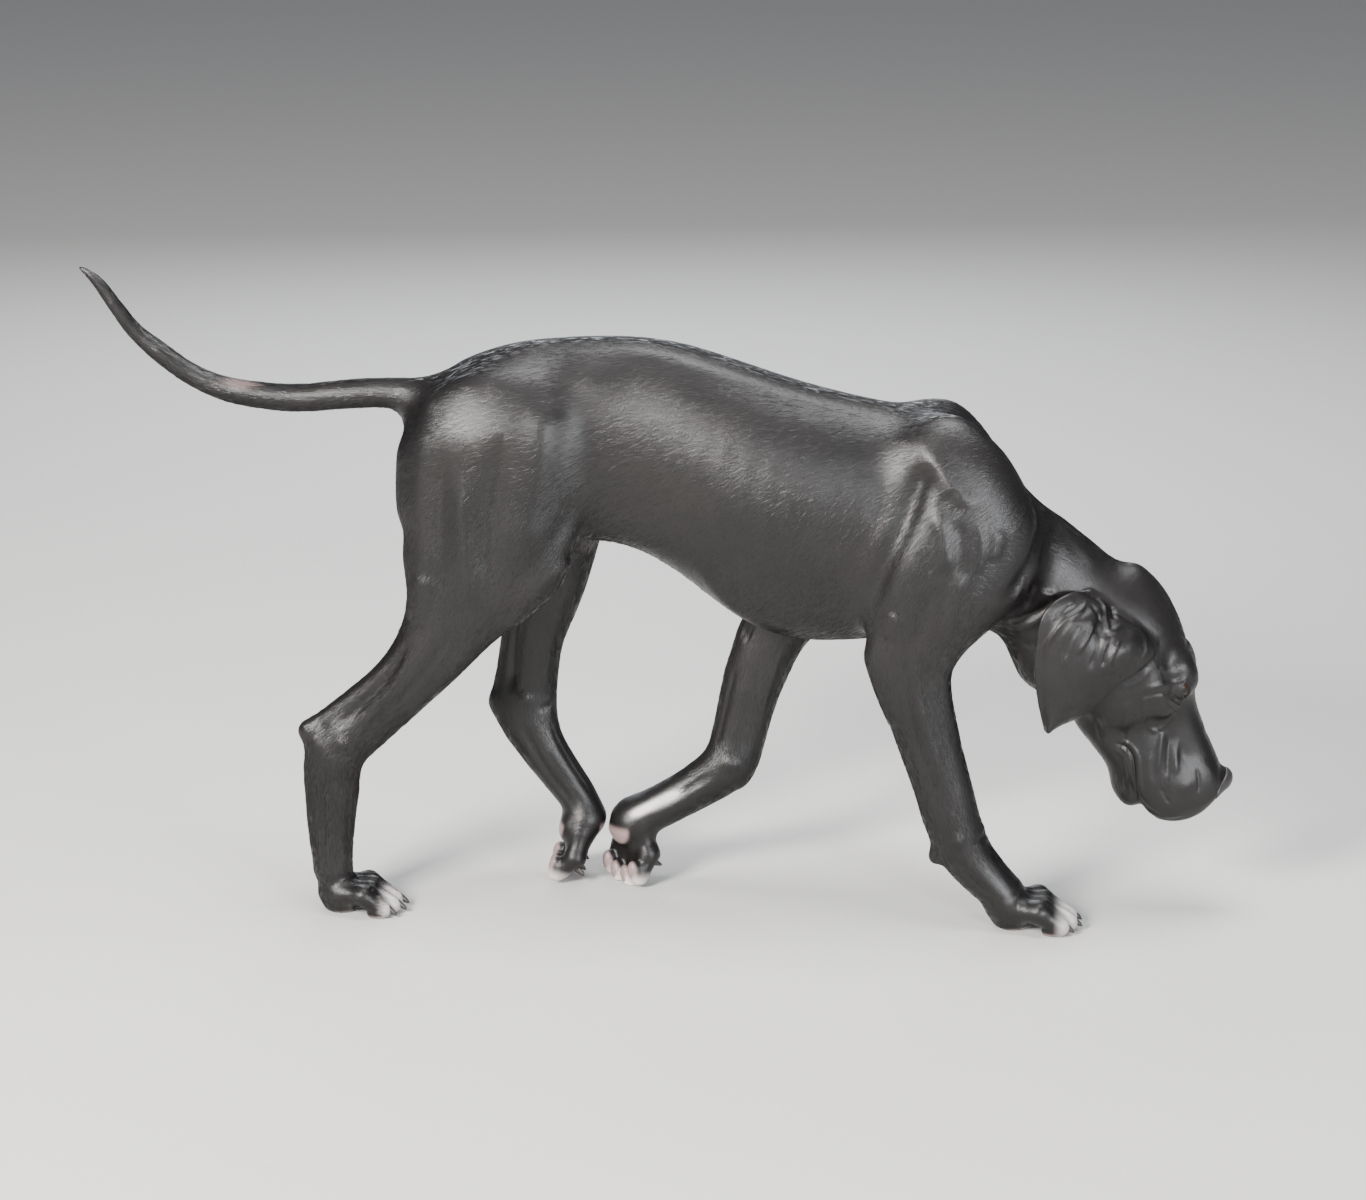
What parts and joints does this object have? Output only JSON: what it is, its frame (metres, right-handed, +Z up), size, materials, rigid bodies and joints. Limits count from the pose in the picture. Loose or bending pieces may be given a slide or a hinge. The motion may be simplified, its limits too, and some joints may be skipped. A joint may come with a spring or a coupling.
{
  "type": "great dane model",
  "caption": "Life-size still model of a young black great dane walking with its head held low to sniff, ears hanging, tail out behind with its tip raised.",
  "frame": {"origin": "on the floor that the paws stand on, under the middle of the whole dog's bounding box", "axes": "+X along the body towards the head, +Y towards the dog's left side, +Z up"},
  "size_m": [1.4383, 0.2385, 0.8125],
  "materials": {
    "coat": "short glossy black hair lying flat, with small white marks at the toes",
    "nose_leather": "damp, finely pebbled dark grey leather",
    "eye": "polished dark brown",
    "claw": "satin dark horn"
  },
  "bodies": {
    "root": {"torso": "coat", "neck": "coat", "head": "coat", "ear_right": "coat", "ear_left": "coat", "tail_root": "coat", "tail_tip": "coat", "hind_right_thigh": "coat", "hind_right_shank": "coat", "hind_right_hock": "coat", "hind_right_paw": "coat", "hind_left_thigh": "coat", "hind_left_shank": "coat", "hind_left_hock": "coat", "hind_left_paw": "coat", "fore_right_shoulder": "coat", "fore_right_forearm": "coat", "fore_right_paw": "coat", "fore_left_shoulder": "coat", "fore_left_forearm": "coat", "fore_left_paw": "coat", "nose": "nose_leather", "eye_right": "eye", "eye_left": "eye", "hind_right_claw_1": "claw", "hind_right_claw_2": "claw", "hind_right_claw_3": "claw", "hind_right_claw_4": "claw", "hind_left_claw_1": "claw", "hind_left_claw_2": "claw", "hind_left_claw_3": "claw", "hind_left_claw_4": "claw", "fore_right_claw_1": "claw", "fore_right_claw_2": "claw", "fore_right_claw_3": "claw", "fore_right_claw_4": "claw", "fore_left_claw_1": "claw", "fore_left_claw_2": "claw", "fore_left_claw_3": "claw", "fore_left_claw_4": "claw"}
  },
  "joints": []
}
